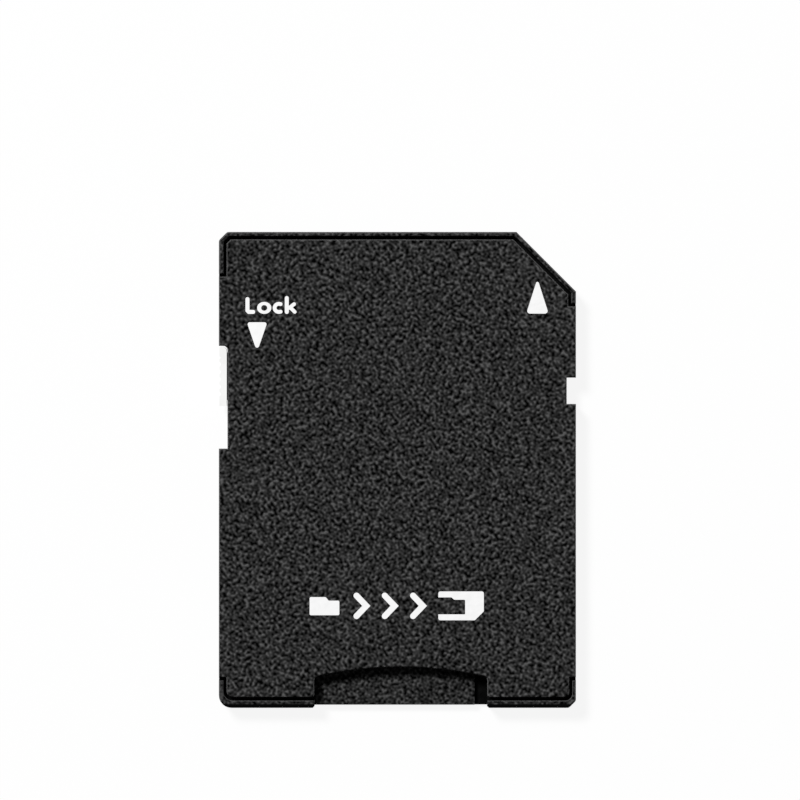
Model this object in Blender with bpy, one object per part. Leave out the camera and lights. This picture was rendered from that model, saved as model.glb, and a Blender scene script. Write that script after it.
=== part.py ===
"""Memory card adapter: a full-size card body with a slot at its rear end for a small card.

Looking at the label face, +X is to the right (the cut corner's side), +Y points to the contact end
and +Z comes out of the label face. The origin lies under the middle of the card, on the plane that
the card rests on. All lengths are in metres.
"""

import math

import bmesh
import bpy
from mathutils import Matrix, Vector

# Card body
CARD_WIDTH = 0.024
CARD_LENGTH = 0.032
CARD_THICKNESS = 0.0021
RAIL_STEP = 0.0007
RAIL_WIDTH = 0.00075
CORNER_CUT = 0.004
FRONT_LEFT_CHAMFER = 0.00056
REAR_LEFT_ROUND = 0.00085
REAR_RIGHT_CHAMFER = 0.00048
CHAMFER_ROUND = 0.00025
REAR_BEVEL_WIDTH = 0.00026
REAR_BEVEL_DEPTH = 0.0004
BOTTOM_CHAMFER = 0.0002
PARTING_HEIGHT = 0.0014
SEAM_GAP = 0.00002
SEAM_CHAMFER = 0.00004

# Cover plate, and the groove between it and the rim at the front end and the rear corners
COVER_DROP = 0.00003
GROOVE_WIDTH = 0.0002
FRONT_RIM = 0.0003
SIDE_RIM = 0.00031
REAR_RIGHT_RIM = 0.00024
REAR_RIM = 0.0005
RIM_OUTER_ROUND = 0.00018
RIM_INNER_ROUND = 0.00008
COVER_EDGE_ROUND = 0.00012
COVER_REAR_RIGHT_ROUND = 0.0003
COVER_REAR_LEFT_ROUND = 0.00045
COVER_FRONT_CHAMFER = 0.00028
LEFT_RIM_RETURN = 0.0028
RIGHT_RIM_RETURN = 0.0008
REAR_RIM_RETURN = 0.00185

# Lock notch in the left side and index notch in the right side, measured from the front end
LOCK_NOTCH_START = 0.00765
LOCK_NOTCH_LENGTH = 0.00692
LOCK_NOTCH_DEPTH = 0.00058
LOCK_NOTCH_ROUND = 0.0003
INDEX_NOTCH_START = 0.00979
INDEX_NOTCH_LENGTH = 0.00177
INDEX_NOTCH_DEPTH = 0.00062

# Write-protect slider, held by a T-shaped foot between the two shells
SLIDER_LENGTH = 0.004
SLIDER_GAP = 0.00005
SLIDER_FACE_INSET = 0.00004
SLIDER_GRIP_PITCH = 0.0005
SLIDER_GRIP_COUNT = 5
SLIDER_GRIP_DEPTH = 0.0001
SLIDER_RIDGE_START = 0.000125
SLIDER_RIDGE_END = 0.000275
SLIDER_VALLEY_START = 0.0004
SLIDER_LIP = 0.00027
SLIDER_FOOT_SHORTER = 0.0004
SLIDER_NECK_SLIT = 0.0005
SLIDER_FOOT_SLOT = 0.0009
SLIDER_FOOT_DEPTH = 0.0004

# Small card, and the slot that holds it
SMALL_CARD_WIDTH = 0.011
SMALL_CARD_LENGTH = 0.015
SMALL_CARD_THICKNESS = 0.0007
SMALL_CARD_NOSE_STEP = 0.0013
SMALL_CARD_NOSE_LENGTH = 0.0056
SMALL_CARD_NOTCH_FROM_NOSE = 0.0085
SLOT_OFFSET = 0.00023
SLOT_CLEARANCE = 0.0001
SLOT_FLOOR_HEIGHT = 0.00078
MOUTH_RECESS = 0.00018
MOUTH_FLARE = 0.00012

# Thumb cut-out in the label-side shell, measured from the rear end
THUMB_WIDTH = 0.01162
THUMB_SIDE_DEPTH = 0.00208
THUMB_DEPTH = 0.00275
THUMB_CORNER_ROUND = 0.0002
THUMB_ARC_END_ROUND = 0.0003
SIDE_RELIEF_WIDTH = 0.00084
SIDE_RELIEF_HEIGHT = 0.0003
SIDE_RELIEF_LENGTH = 0.0032

# Outer contact pads and the windows that show them. The pads are numbered from the cut corner's side;
# the first lies further back than the rest, and two of them are one piece, which carries the ground.
PAD_NUMBERS = (9, 1, 2, 3, 4, 5, 6, 7, 8)
SET_BACK_PAD = 9
GROUND_PADS = (6, 3)
PAD_HEIGHT = 0.0007
FULL_PITCH_PADS = 7
PAD_NINE_FROM_SIDE = 0.002625
PAD_EIGHT_FROM_SIDE = 0.00225
PAD_SEVEN_STEP = 0.002425
PAD_EIGHT_STEP = 0.0017
WINDOW_RIB = 0.0008
WINDOW_SEVEN_WIDTH = 0.0015
WINDOW_EIGHT_WIDTH = 0.0011
WINDOW_START = 0.0016
WINDOW_LENGTH = 0.0038
WINDOW_NINE_SET_BACK = 0.0019
WINDOW_NINE_SHORTER = 0.0008
ENTRY_RAMP = 0.0002
ENTRY_WEB = 0.0002
PAD_LAP = 0.0001
PAD_FRONT_LAP = 0.00012
PAD_TAIL = 0.0008

# Stamped contacts
CONTACT_THICKNESS = 0.00015
CONTACT_GAP = 0.00003
LEAD_WIDTH = 0.0006
FINGER_COUNT = 8
FINGER_FROM_NOSE_SIDE = 0.0011
FINGER_ROOT_WIDTH = 0.0005
FINGER_TIP_WIDTH = 0.00036
FINGER_REACH = 0.0018
FINGER_RISE = 0.00026
FINGER_CROWN_RADIUS = 0.0005
FINGER_CROWN_END_DEG = 48.0
GROUND_BAR_WIDTH = 0.0003
STAKE_FROM_TAIL_END = 0.00035
STAKE_RADIUS = 0.0002
STAKE_HEAD_RADIUS = 0.00032
STAKE_HEAD_HEIGHT = 0.00009
STAKE_HEAD_FLARE = 0.00001

# Inside of the two shells
FRONT_WALL = 0.0009
BAY_SIDE_WALL = 0.0013
BAY_WIDE_LENGTH = 0.0068
FINGER_BAY_HEIGHT = 0.0003
FINGER_SLOT_WIDTH = 0.00078
FINGER_SLOT_OVERRUN = 0.0007
PAD_BAR_LENGTH = 0.0034
LEAD_BAR_LENGTH = 0.0012
CORE_FLOOR = 0.0006
CORE_WALL = 0.001
CORE_END_WALL = 0.0011
CORE_RIB = 0.0008
PIN_RADIUS = 0.00045
PIN_LENGTH = 0.0004
PIN_GAP = 0.00005

# Leaf spring beside the slot
LEAF_THICKNESS = 0.00012
LEAF_LENGTH = 0.0062
LEAF_BULGE = 0.00105
LEAF_REACH_INTO_SLOT = 0.0003
LEAF_GAP = 0.00004

SHARP_FROM_DEG = 30.0
ARC_STEP_DEG = 18.0
THUMB_ARC_STEPS = 24
LEAF_STEPS = 20
FINGER_CROWN_STEPS = 7
ROUND_SIDES = 16
EDGE_ROUND_STEPS = 3
CUT_MARGIN = 0.0005
JOIN_LAP = 0.00005

# Places that follow from the sizes above
HALF_WIDTH = CARD_WIDTH / 2
HALF_LENGTH = CARD_LENGTH / 2
FRONT = HALF_LENGTH
REAR = -HALF_LENGTH
COVER_TOP = CARD_THICKNESS - COVER_DROP
COVER_BOTTOM = PARTING_HEIGHT + SEAM_GAP
SLOT_WIDTH = SMALL_CARD_WIDTH + 2 * SLOT_CLEARANCE
SLOT_LEFT = SLOT_OFFSET - SLOT_WIDTH / 2
SLOT_RIGHT = SLOT_OFFSET + SLOT_WIDTH / 2
SLOT_NOSE_RIGHT = SLOT_RIGHT - SMALL_CARD_NOSE_STEP
SLOT_CEILING = SLOT_FLOOR_HEIGHT + SMALL_CARD_THICKNESS + SLOT_CLEARANCE
SMALL_CARD_NOSE = REAR + SMALL_CARD_LENGTH
SLOT_END = SMALL_CARD_NOSE + SLOT_CLEARANCE
THUMB_LEFT = SLOT_OFFSET - THUMB_WIDTH / 2
THUMB_RIGHT = SLOT_OFFSET + THUMB_WIDTH / 2
NOSE_MIDDLE = (SLOT_LEFT + SLOT_NOSE_RIGHT) / 2
FINGER_HALF_SPAN = (SLOT_NOSE_RIGHT - SLOT_LEFT) / 2 - FINGER_FROM_NOSE_SIDE
FINGER_PITCH = 2 * FINGER_HALF_SPAN / (FINGER_COUNT - 1)
PAD_NINE_X = HALF_WIDTH - PAD_NINE_FROM_SIDE
PAD_SIX_X = PAD_EIGHT_FROM_SIDE + PAD_EIGHT_STEP + PAD_SEVEN_STEP - HALF_WIDTH
PAD_PITCH = (PAD_NINE_X - PAD_SIX_X) / (FULL_PITCH_PADS - 1)
WINDOW_WIDTH = PAD_PITCH - WINDOW_RIB
WINDOW_FRONT = FRONT - WINDOW_START
WINDOW_REAR = WINDOW_FRONT - WINDOW_LENGTH
BAY_FRONT = FRONT - FRONT_WALL
LEAD_END = (WINDOW_REAR - PAD_TAIL + SLOT_END) / 2
FINGER_ROOT = LEAD_END - FINGER_ROOT_WIDTH / 2
BAY_REAR = LEAD_END - 2 * FINGER_ROOT_WIDTH
CONTACT_MIDDLE = PAD_HEIGHT + CONTACT_THICKNESS / 2
CLAMP_HEIGHT = PAD_HEIGHT + CONTACT_THICKNESS + CONTACT_GAP
LOCK_NOTCH_FRONT = FRONT - LOCK_NOTCH_START
LOCK_NOTCH_REAR = LOCK_NOTCH_FRONT - LOCK_NOTCH_LENGTH
LOCK_NOTCH_WALL = -HALF_WIDTH + LOCK_NOTCH_DEPTH
INDEX_NOTCH_FRONT = FRONT - INDEX_NOTCH_START
INDEX_NOTCH_REAR = INDEX_NOTCH_FRONT - INDEX_NOTCH_LENGTH


def clear_scene():
    for obj in list(bpy.data.objects):
        bpy.data.objects.remove(obj, do_unlink=True)


def material(name, colour, roughness, metallic=0.0):
    made = bpy.data.materials.new(name)
    made.use_nodes = True
    shader = made.node_tree.nodes["Principled BSDF"]
    shader.inputs["Base Color"].default_value = (*colour, 1.0)
    shader.inputs["Roughness"].default_value = roughness
    shader.inputs["Metallic"].default_value = metallic
    return made


# Outlines. An outline is a list of (x, y) points, counter-clockwise seen from above.


def rounded(corners):
    """Turns (x, y, radius) corners into an outline, with an arc at each corner that has a radius."""
    outline = []
    for i, (x, y, radius) in enumerate(corners):
        here = Vector((x, y))
        if not radius:
            outline.append((x, y))
            continue
        before = (Vector(corners[i - 1][:2]) - here).normalized()
        after = (Vector(corners[(i + 1) % len(corners)][:2]) - here).normalized()
        half = before.angle(after) / 2
        middle = here + (before + after).normalized() * radius / math.sin(half)
        start = here + before * radius / math.tan(half) - middle
        end = here + after * radius / math.tan(half) - middle
        turn = start.angle(end)
        steps = max(2, math.ceil(math.degrees(turn) / ARC_STEP_DEG))
        for step in range(steps + 1):
            share = step / steps
            spoke = start * math.sin((1 - share) * turn) + end * math.sin(share * turn)
            outline.append(tuple(middle + spoke / math.sin(turn)))
    return outline


def inset(outline, distance):
    """Moves every edge of an outline inwards by a distance, or outwards if it is negative."""
    moved = []
    for i, point in enumerate(outline):
        here = Vector(point)
        ahead = (Vector(outline[(i + 1) % len(outline)]) - here).normalized()
        behind = (here - Vector(outline[i - 1])).normalized()
        normal = Vector((-behind.y, behind.x)) + Vector((-ahead.y, ahead.x))
        moved.append(tuple(here + normal * 2 * distance / normal.length_squared))
    return moved


def round_edge(outline, radius, top, side=1):
    """Rings that round an upper edge off: the outline's own, or with side -1 the edge of a cut."""
    turns = [math.pi / 2 * step / EDGE_ROUND_STEPS for step in range(EDGE_ROUND_STEPS + 1)]
    rings = []
    for turn in turns:
        height = top - radius * (1 - math.sin(turn))
        rings.append((height, inset(outline, side * radius * (1 - math.cos(turn)))))
    return rings


def box_outline(left, right, rear, front):
    return [(left, rear), (right, rear), (right, front), (left, front)]


def circle(x, y, radius):
    turns = [2 * math.pi * (i + 0.5) / ROUND_SIDES for i in range(ROUND_SIDES)]
    return [(x + radius * math.cos(turn), y + radius * math.sin(turn)) for turn in turns]


def card_outline():
    return rounded(
        [
            (-HALF_WIDTH, REAR, REAR_LEFT_ROUND),
            (HALF_WIDTH - REAR_RIGHT_CHAMFER, REAR, CHAMFER_ROUND),
            (HALF_WIDTH, REAR + REAR_RIGHT_CHAMFER, CHAMFER_ROUND),
            (HALF_WIDTH, FRONT - CORNER_CUT, 0),
            (HALF_WIDTH - CORNER_CUT, FRONT, 0),
            (-HALF_WIDTH + FRONT_LEFT_CHAMFER, FRONT, CHAMFER_ROUND),
            (-HALF_WIDTH, FRONT - FRONT_LEFT_CHAMFER, CHAMFER_ROUND),
        ]
    )


def index_notch(depth):
    wall = HALF_WIDTH - INDEX_NOTCH_DEPTH
    return [
        (HALF_WIDTH + depth, INDEX_NOTCH_REAR, 0),
        (wall, INDEX_NOTCH_REAR, 0),
        (wall, INDEX_NOTCH_FRONT, 0),
        (HALF_WIDTH + depth, INDEX_NOTCH_FRONT, 0),
    ]


def lock_notch(depth):
    return [
        (-HALF_WIDTH - depth, LOCK_NOTCH_FRONT, 0),
        (LOCK_NOTCH_WALL, LOCK_NOTCH_FRONT, LOCK_NOTCH_ROUND),
        (LOCK_NOTCH_WALL, LOCK_NOTCH_REAR, 0),
        (-HALF_WIDTH - depth, LOCK_NOTCH_REAR, 0),
    ]


def thumb_arc():
    """The arched inner edge of the thumb cut-out, from its left end to its right end."""
    rise = THUMB_DEPTH - THUMB_SIDE_DEPTH
    radius = (THUMB_WIDTH**2 / 4 + rise**2) / (2 * rise)
    half_turn = math.asin(THUMB_WIDTH / 2 / radius)
    middle = REAR + THUMB_DEPTH - radius
    turns = [half_turn * (2 * i / THUMB_ARC_STEPS - 1) for i in range(THUMB_ARC_STEPS + 1)]
    rounds = [THUMB_ARC_END_ROUND] + [0] * (THUMB_ARC_STEPS - 1) + [THUMB_ARC_END_ROUND]
    places = [(SLOT_OFFSET + radius * math.sin(t), middle + radius * math.cos(t)) for t in turns]
    return [(*place, round_off) for place, round_off in zip(places, rounds)]


def cover_corners(with_cut_outs):
    """The cover plate's corners. It reaches the card's sides between the front and rear rims."""
    side = SIDE_RIM + GROOVE_WIDTH
    rear_right = REAR_RIGHT_RIM + GROOVE_WIDTH
    rear = REAR + REAR_RIM + GROOVE_WIDTH
    front = FRONT - FRONT_RIM - GROOVE_WIDTH
    rear_step = REAR + REAR_RIM_RETURN + GROOVE_WIDTH
    left_step = FRONT - LEFT_RIM_RETURN - GROOVE_WIDTH
    right_step = FRONT - CORNER_CUT - RIGHT_RIM_RETURN - GROOVE_WIDTH
    cut_line = HALF_WIDTH + FRONT - CORNER_CUT - math.sqrt(2) * (FRONT_RIM + GROOVE_WIDTH)
    thumb = [
        (THUMB_LEFT, rear, THUMB_CORNER_ROUND),
        *thumb_arc(),
        (THUMB_RIGHT, rear, THUMB_CORNER_ROUND),
    ]
    return [
        (-HALF_WIDTH + side, rear, COVER_REAR_LEFT_ROUND),
        *(thumb if with_cut_outs else []),
        (HALF_WIDTH - rear_right, rear, COVER_REAR_RIGHT_ROUND),
        (HALF_WIDTH - rear_right, rear_step, 0),
        (HALF_WIDTH, rear_step, 0),
        *(index_notch(0) if with_cut_outs else []),
        (HALF_WIDTH, right_step, 0),
        (HALF_WIDTH - side, right_step, 0),
        (HALF_WIDTH - side, cut_line - HALF_WIDTH + side, 0),
        (cut_line - front, front, 0),
        (-HALF_WIDTH + side + COVER_FRONT_CHAMFER, front, 0),
        (-HALF_WIDTH + side, front - COVER_FRONT_CHAMFER, 0),
        (-HALF_WIDTH + side, left_step, 0),
        (-HALF_WIDTH, left_step, 0),
        *(lock_notch(0) if with_cut_outs else []),
        (-HALF_WIDTH, rear_step, 0),
        (-HALF_WIDTH + side, rear_step, 0),
    ]


def slot_outline(mouth):
    """The slot in plan: the small card's own outline with its narrow nose, and the clearance."""
    shoulder = SLOT_RIGHT - SLOT_NOSE_RIGHT
    nose_rear = SMALL_CARD_NOSE - SMALL_CARD_NOSE_LENGTH
    return [
        (SLOT_LEFT, mouth),
        (SLOT_RIGHT, mouth),
        (SLOT_RIGHT, nose_rear - shoulder),
        (SLOT_NOSE_RIGHT, nose_rear),
        (SLOT_NOSE_RIGHT, SLOT_END),
        (SLOT_LEFT, SLOT_END),
    ]


def bay_outline(margin):
    """The bay that holds the contacts: as wide as the pads in front, and narrowing like their leads."""
    left = -HALF_WIDTH + BAY_SIDE_WALL + margin
    right = HALF_WIDTH - BAY_SIDE_WALL - margin
    front = BAY_FRONT - margin
    wide_rear = BAY_FRONT - BAY_WIDE_LENGTH
    cut_line = HALF_WIDTH + FRONT - CORNER_CUT - math.sqrt(2) * (FRONT_WALL + margin)
    half_rear = FINGER_HALF_SPAN + FINGER_ROOT_WIDTH
    return [
        (NOSE_MIDDLE - half_rear, BAY_REAR),
        (NOSE_MIDDLE + half_rear, BAY_REAR),
        (right, wide_rear),
        (right, cut_line - right),
        (cut_line - front, front),
        (left, front),
        (left, wide_rear),
    ]


# Solids


def solid(name, vertices, faces, made_of):
    """An object from a closed set of faces, which are all turned outwards."""
    mesh = bpy.data.meshes.new(name)
    mesh.from_pydata(vertices, [], faces)
    work = bmesh.new()
    work.from_mesh(mesh)
    bmesh.ops.recalc_face_normals(work, faces=work.faces)
    work.to_mesh(mesh)
    work.free()
    obj = bpy.data.objects.new(name, mesh)
    bpy.context.scene.collection.objects.link(obj)
    if made_of:
        obj.data.materials.append(made_of)
    return obj


def loft(name, rings, made_of=None, axis="Z"):
    """A closed solid through matching outlines, each given as (height along the axis, outline)."""
    count = len(rings[0][1])
    vertices = [(u, v, height) for height, outline in rings for u, v in outline]
    if axis == "X":
        vertices = [(w, u, v) for u, v, w in vertices]
    if axis == "Y":
        vertices = [(v, w, u) for u, v, w in vertices]
    faces = [list(reversed(range(count))), [len(vertices) - count + i for i in range(count)]]
    for ring in range(len(rings) - 1):
        for i in range(count):
            low, ahead = ring * count, (i + 1) % count
            faces.append([low + i, low + ahead, low + count + ahead, low + count + i])
    return solid(name, vertices, faces, made_of)


def prism(name, outline, low, high, made_of=None, axis="Z"):
    return loft(name, [(low, outline), (high, outline)], made_of, axis)


def combine(target, operation, *others):
    """Cuts the other solids from the target, or joins them to it, and hides them."""
    for other in others:
        modifier = target.modifiers.new(other.name, "BOOLEAN")
        modifier.operation = operation
        modifier.solver = "EXACT"
        modifier.object = other
        other.hide_render = True
        other.display_type = "WIRE"


def cut(target, *others):
    combine(target, "DIFFERENCE", *others)


def join(target, *others):
    combine(target, "UNION", *others)


def set_origin(obj, place):
    obj.data.transform(Matrix.Translation(-place))
    obj.location = place


def angle_shading():
    """A node group that shades smooth, and keeps edges sharp where the faces turn by more."""
    group = bpy.data.node_groups.new("angle_shading", "GeometryNodeTree")
    for direction in ("INPUT", "OUTPUT"):
        group.interface.new_socket("Geometry", in_out=direction, socket_type="NodeSocketGeometry")
    nodes, links = group.nodes, group.links
    entry = nodes.new("NodeGroupInput")
    leave = nodes.new("NodeGroupOutput")
    faces = nodes.new("GeometryNodeSetShadeSmooth")
    edges = nodes.new("GeometryNodeSetShadeSmooth")
    edges.domain = "EDGE"
    edges.inputs["Shade Smooth"].default_value = False
    turn = nodes.new("GeometryNodeInputMeshEdgeAngle")
    sharp = nodes.new("FunctionNodeCompare")
    sharp.operation = "GREATER_THAN"
    sharp.inputs["B"].default_value = math.radians(SHARP_FROM_DEG)
    links.new(entry.outputs["Geometry"], faces.inputs["Geometry"])
    links.new(faces.outputs["Geometry"], edges.inputs["Geometry"])
    links.new(turn.outputs["Unsigned Angle"], sharp.inputs["A"])
    links.new(sharp.outputs["Result"], edges.inputs["Selection"])
    links.new(edges.outputs["Geometry"], leave.inputs["Geometry"])
    return group


# Contacts


def pad_places():
    """(number, middle x, window width) of each pad, from the cut corner's side to the other."""
    row = [PAD_NINE_X - i * PAD_PITCH for i in range(FULL_PITCH_PADS)]
    row.append(row[-1] - PAD_SEVEN_STEP)
    row.append(row[-1] - PAD_EIGHT_STEP)
    widths = [WINDOW_WIDTH] * FULL_PITCH_PADS + [WINDOW_SEVEN_WIDTH, WINDOW_EIGHT_WIDTH]
    return list(zip(PAD_NUMBERS, row, widths))


def window_ends(number):
    """(rear, front) of a pad's window. The set-back one lies behind the cut corner."""
    if number == SET_BACK_PAD:
        rear = WINDOW_REAR - WINDOW_NINE_SET_BACK + WINDOW_NINE_SHORTER
        return rear, WINDOW_FRONT - WINDOW_NINE_SET_BACK
    return WINDOW_REAR, WINDOW_FRONT


def tail_end(number):
    return window_ends(number)[0] - PAD_TAIL


def stake_places():
    return [(x, tail_end(number) + STAKE_FROM_TAIL_END) for number, x, _ in pad_places()]


def finger_line():
    """(y, height, slope) along a finger: straight up from its root, then over its crown."""
    crown = SMALL_CARD_NOSE - FINGER_REACH
    slope = math.atan2(FINGER_RISE, FINGER_ROOT - crown)
    line = [(FINGER_ROOT, CONTACT_MIDDLE, 0.0)]
    middle_y = crown - FINGER_CROWN_RADIUS * math.sin(slope)
    middle_z = CONTACT_MIDDLE + FINGER_RISE - FINGER_CROWN_RADIUS * math.cos(slope)
    end = -math.radians(FINGER_CROWN_END_DEG)
    for step in range(FINGER_CROWN_STEPS + 1):
        turn = slope + (end - slope) * step / FINGER_CROWN_STEPS
        y = middle_y + FINGER_CROWN_RADIUS * math.sin(turn)
        z = middle_z + FINGER_CROWN_RADIUS * math.cos(turn)
        line.append((y, z, turn))
    return line


def contact_outline(number, x, window, finger_x):
    """The flat part in plan, from the finger's root round the pad and back to the root."""
    half = window / 2 + PAD_LAP
    tail = tail_end(number)
    lead_start = tail - LEAD_WIDTH / 2
    pad_front = window_ends(number)[1] + PAD_FRONT_LAP
    right = [
        (finger_x + FINGER_ROOT_WIDTH / 2, FINGER_ROOT),
        (finger_x + FINGER_ROOT_WIDTH / 2, LEAD_END),
        (x + LEAD_WIDTH / 2, lead_start),
        (x + half, tail),
    ]
    left = [
        (x - half, tail),
        (x - LEAD_WIDTH / 2, lead_start),
        (finger_x - FINGER_ROOT_WIDTH / 2, LEAD_END),
        (finger_x - FINGER_ROOT_WIDTH / 2, FINGER_ROOT),
    ]
    if number != GROUND_PADS[0]:
        return right + [(x + half, pad_front), (x - half, pad_front)] + left
    bar_front = BAY_FRONT - CONTACT_GAP
    bar_rear = bar_front - GROUND_BAR_WIDTH
    other = {place[0]: place[1] for place in pad_places()}[GROUND_PADS[1]]
    bar = [
        (x + half, bar_rear),
        (other - half, bar_rear),
        (other - half, tail),
        (other + half, tail),
        (other + half, bar_front),
        (x - half, bar_front),
    ]
    return right + bar + left


def contact(name, number, x, window, finger_x, made_of):
    """A stamped contact: a flat pad and lead, whose last stretch is a finger formed upwards."""
    outline = contact_outline(number, x, window, finger_x)
    count = len(outline)
    half = CONTACT_THICKNESS / 2
    vertices = [(u, v, CONTACT_MIDDLE - half) for u, v in outline]
    vertices += [(u, v, CONTACT_MIDDLE + half) for u, v in outline]
    faces = [list(reversed(range(count))), list(range(count, 2 * count))]
    faces += [[i, i + 1, count + i + 1, count + i] for i in range(count - 1)]
    line = finger_line()
    reach = line[0][0] - line[-1][0]
    last = [0, count - 1, 2 * count - 1, count]
    for y, z, turn in line[1:]:
        share = (line[0][0] - y) / reach
        width = (FINGER_ROOT_WIDTH + (FINGER_TIP_WIDTH - FINGER_ROOT_WIDTH) * share) / 2
        up_y, up_z = half * math.sin(turn), half * math.cos(turn)
        first = len(vertices)
        vertices += [
            (finger_x + width, y - up_y, z - up_z),
            (finger_x - width, y - up_y, z - up_z),
            (finger_x - width, y + up_y, z + up_z),
            (finger_x + width, y + up_y, z + up_z),
        ]
        here = [first, first + 1, first + 2, first + 3]
        for i in range(4):
            ahead = (i + 1) % 4
            faces.append([last[i], here[i], here[ahead], last[ahead]])
        last = here
    faces.append(last)
    return solid(name, vertices, faces, made_of)


def contacts(made_of):
    """The contacts. The two ground pads are one stamping, joined by a bar in front of 4 and 5."""
    hole = STAKE_RADIUS + CONTACT_GAP
    low = PAD_HEIGHT - CONTACT_THICKNESS
    high = PAD_HEIGHT + 2 * CONTACT_THICKNESS
    places = dict(zip(PAD_NUMBERS, stake_places()))
    fingers = [place for place in pad_places() if place[0] != GROUND_PADS[1]]
    for i, (number, x, window) in enumerate(fingers):
        finger_x = NOSE_MIDDLE + FINGER_HALF_SPAN - i * FINGER_PITCH
        ground = number == GROUND_PADS[0]
        name = "contact_ground" if ground else f"contact_pad_{number}"
        made = contact(name, number, x, window, finger_x, made_of)
        for staked in GROUND_PADS if ground else (number,):
            cut(made, prism(f"stake_hole_{staked}", circle(*places[staked], hole), low, high))


# Shells


def window_cutter(number, x, width):
    """A pad's window and the channel in front of it, which host contacts ride through."""
    rear, front = window_ends(number)
    web_bottom = PAD_HEIGHT - ENTRY_WEB
    profile = [
        (rear, -CUT_MARGIN),
        (FRONT + CUT_MARGIN, -CUT_MARGIN),
        (FRONT + CUT_MARGIN, web_bottom),
        (front + ENTRY_RAMP, web_bottom),
        (front, PAD_HEIGHT + JOIN_LAP),
        (rear, PAD_HEIGHT + JOIN_LAP),
    ]
    return prism(f"window_{number}", profile, x - width / 2, x + width / 2, axis="X")


def rail_cutter(side):
    """The step under a guide rail, with the resting face's chamfer along its inner edge."""
    inner = HALF_WIDTH - RAIL_WIDTH
    outer = HALF_WIDTH + CUT_MARGIN
    profile = [
        (RAIL_STEP, side * inner),
        (BOTTOM_CHAMFER, side * inner),
        (0, side * (inner - BOTTOM_CHAMFER)),
        (-CUT_MARGIN, side * (inner - BOTTOM_CHAMFER)),
        (-CUT_MARGIN, side * outer),
        (RAIL_STEP, side * outer),
    ]
    name = "rail_step_right" if side > 0 else "rail_step_left"
    return prism(name, profile, REAR - CUT_MARGIN, FRONT + CUT_MARGIN, axis="Y")


def rear_bevel():
    """The steep bevel along the top of the rear end."""
    steepness = REAR_BEVEL_DEPTH / REAR_BEVEL_WIDTH
    behind, above = REAR - CUT_MARGIN, CARD_THICKNESS + CUT_MARGIN
    profile = [
        (behind, CARD_THICKNESS - REAR_BEVEL_DEPTH - CUT_MARGIN * steepness),
        (REAR + REAR_BEVEL_WIDTH + CUT_MARGIN / steepness, above),
        (behind, above),
    ]
    reach = HALF_WIDTH + CUT_MARGIN
    return prism("rear_bevel", profile, -reach, reach, axis="X")


def mouth_recess():
    """The set-back between the rear corners, flared at both ends."""
    behind = REAR - 2 * CUT_MARGIN
    flare = MOUTH_FLARE + 2 * CUT_MARGIN
    outline = [
        (THUMB_LEFT - flare, behind),
        (THUMB_RIGHT + flare, behind),
        (THUMB_RIGHT, REAR + MOUTH_FLARE),
        (THUMB_RIGHT, REAR + MOUTH_RECESS),
        (THUMB_LEFT, REAR + MOUTH_RECESS),
        (THUMB_LEFT, REAR + MOUTH_FLARE),
    ]
    return prism("mouth_recess", outline, -CUT_MARGIN, CARD_THICKNESS + CUT_MARGIN)


def slider_pocket():
    """The T-shaped pocket for the slider's foot, half in each shell."""
    slit = SLIDER_NECK_SLIT / 2 + SLIDER_GAP
    slot = SLIDER_FOOT_SLOT / 2
    lip = LOCK_NOTCH_WALL + SLIDER_LIP
    back = lip + SLIDER_FOOT_DEPTH
    outside = LOCK_NOTCH_WALL - LOCK_NOTCH_DEPTH / 2
    middle = PARTING_HEIGHT
    profile = [
        (middle - slit, outside),
        (middle + slit, outside),
        (middle + slit, lip),
        (middle + slot, lip),
        (middle + slot, back),
        (middle - slot, back),
        (middle - slot, lip),
        (middle - slit, lip),
    ]
    shorter = SLIDER_FOOT_SHORTER - SLIDER_GAP
    ends = LOCK_NOTCH_REAR + shorter, LOCK_NOTCH_FRONT - shorter
    return prism("slider_pocket", profile, *ends, axis="Y")


def core_pockets():
    """The open pockets beside the slot that keep the floor one wall thick, two on each side."""
    leaf_side = SLOT_RIGHT + LEAF_BULGE + CORE_WALL
    sides = (
        ("left", -HALF_WIDTH + RAIL_WIDTH + CORE_WALL, SLOT_LEFT - CORE_WALL),
        ("right", leaf_side, HALF_WIDTH - RAIL_WIDTH - CORE_WALL),
    )
    rear = REAR + REAR_RIM_RETURN + CORE_END_WALL
    front = BAY_REAR - CORE_END_WALL
    middle = (rear + front) / 2
    ends = (("rear", rear, middle - CORE_RIB / 2), ("front", middle + CORE_RIB / 2, front))
    made = []
    for side, left, right in sides:
        for end, low, high in ends:
            outline = box_outline(left, right, low, high)
            name = f"core_{side}_{end}"
            made.append(prism(name, outline, CORE_FLOOR, PARTING_HEIGHT + CUT_MARGIN))
    return made


def pin_places():
    """Middles of the four pins that place the cover on the floor."""
    left = (-HALF_WIDTH + RAIL_WIDTH + CORE_WALL + SLOT_LEFT - CORE_WALL) / 2
    right = HALF_WIDTH - RAIL_WIDTH - CORE_WALL - 2 * PIN_RADIUS
    rear = REAR + REAR_RIM_RETURN + CORE_END_WALL / 2
    front = BAY_REAR - CORE_END_WALL / 2
    return [(left, rear), (right, rear), (left, front), (right, front)]


def leaf_pocket_outline():
    middle = SMALL_CARD_NOSE - SMALL_CARD_NOTCH_FROM_NOSE
    half = LEAF_LENGTH / 2 + LEAF_GAP
    right = SLOT_RIGHT + LEAF_BULGE - LEAF_REACH_INTO_SLOT + LEAF_THICKNESS + LEAF_GAP
    return box_outline(SLOT_RIGHT - JOIN_LAP, right, middle - half, middle + half)


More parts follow.
